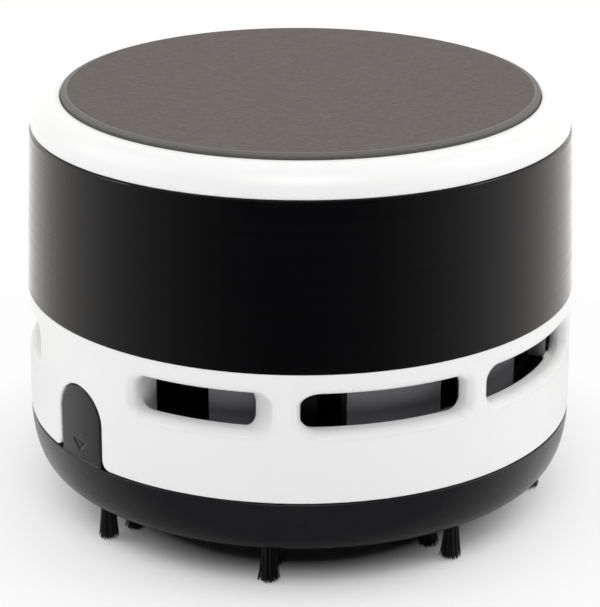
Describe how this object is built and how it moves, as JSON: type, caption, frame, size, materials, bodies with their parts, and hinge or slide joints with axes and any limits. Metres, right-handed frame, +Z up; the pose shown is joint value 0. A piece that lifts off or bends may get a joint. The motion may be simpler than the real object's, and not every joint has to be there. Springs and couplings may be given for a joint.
{
  "type": "desk vacuum cleaner",
  "caption": "Round battery desk vacuum: white slotted shell, black band, flat-topped lid, dust tray with brush tufts underneath, push tabs that free the tray, and a slide switch.",
  "frame": {"origin": "on the surface it stands on, under the brush tips, at the axis of the round body", "axes": "+Z up along the body's axis, X through the two push tabs, +Y towards the slide switch"},
  "size_m": [0.0852, 0.0852, 0.0654],
  "materials": {
    "white_plastic": "smooth satin moulding",
    "band_black": "black with a fine brushed grain",
    "base_black": "satin black moulding",
    "tab_grey": "satin dark grey moulding",
    "pad_grey": "fine matte grain",
    "housing_grey": "smooth dark grey moulding",
    "bristle_black": "nylon bristle",
    "impeller_black": "matt moulding",
    "steel": "bright plated steel",
    "cap_white": "natural nylon",
    "contact_metal": "nickel plated strip",
    "cell_wrap": "plain wrap",
    "felt": "pressed felt",
    "switch_black": "plain moulding",
    "knob_grey": "satin moulding"
  },
  "bodies": {
    "tray": {"base_tray": "base_black", "brush_outer": "bristle_black", "brush_inner": "bristle_black"},
    "body": {"vent_shell": "white_plastic", "band_sleeve": "band_black", "fan_housing": "housing_grey", "housing_screws": "steel", "motor_can": "steel", "motor_cap": "cap_white", "motor_terminals": "contact_metal", "filter_frame": "housing_grey", "filter_pad": "felt", "chassis": "housing_grey", "battery_cells": "cell_wrap", "contact_bridge": "contact_metal", "contact_leaves": "contact_metal", "switch_body": "switch_black"},
    "lid": {"lid_ring": "white_plastic", "lid_pad": "pad_grey"},
    "rotor": {"impeller": "impeller_black", "motor_shaft": "steel"},
    "knob": {"switch_knob": "knob_grey"},
    "tab_left": {"push_tab_left": "tab_grey"},
    "tab_right": {"push_tab_right": "tab_grey"}
  },
  "joints": [
    {"name": "body_lift", "type": "slide", "parent": "tray", "child": "body", "axis": [0, 0, 1], "range_m": [0, 0.04]},
    {"name": "lid_lift", "type": "slide", "parent": "body", "child": "lid", "axis": [0, 0, 1], "range_m": [0, 0.025]},
    {"name": "fan_spin", "type": "hinge", "parent": "body", "child": "rotor", "pos_m": [0, 0, 0.033], "axis": [0, 0, 1], "continuous": true},
    {"name": "switch_slide", "type": "slide", "parent": "body", "child": "knob", "axis": [1, 0, 0], "range_m": [0, 0.004]},
    {"name": "tab_press_left", "type": "hinge", "parent": "tray", "child": "tab_left", "pos_m": [-0.0414, 0, 0.01468], "axis": [0, 1, 0], "range_deg": [0, 6], "stiffness_Nm_per_rad": 0.15},
    {"name": "tab_press_right", "type": "hinge", "parent": "tray", "child": "tab_right", "pos_m": [0.0414, 0, 0.01468], "axis": [0, -1, 0], "range_deg": [0, 6], "stiffness_Nm_per_rad": 0.15}
  ]
}
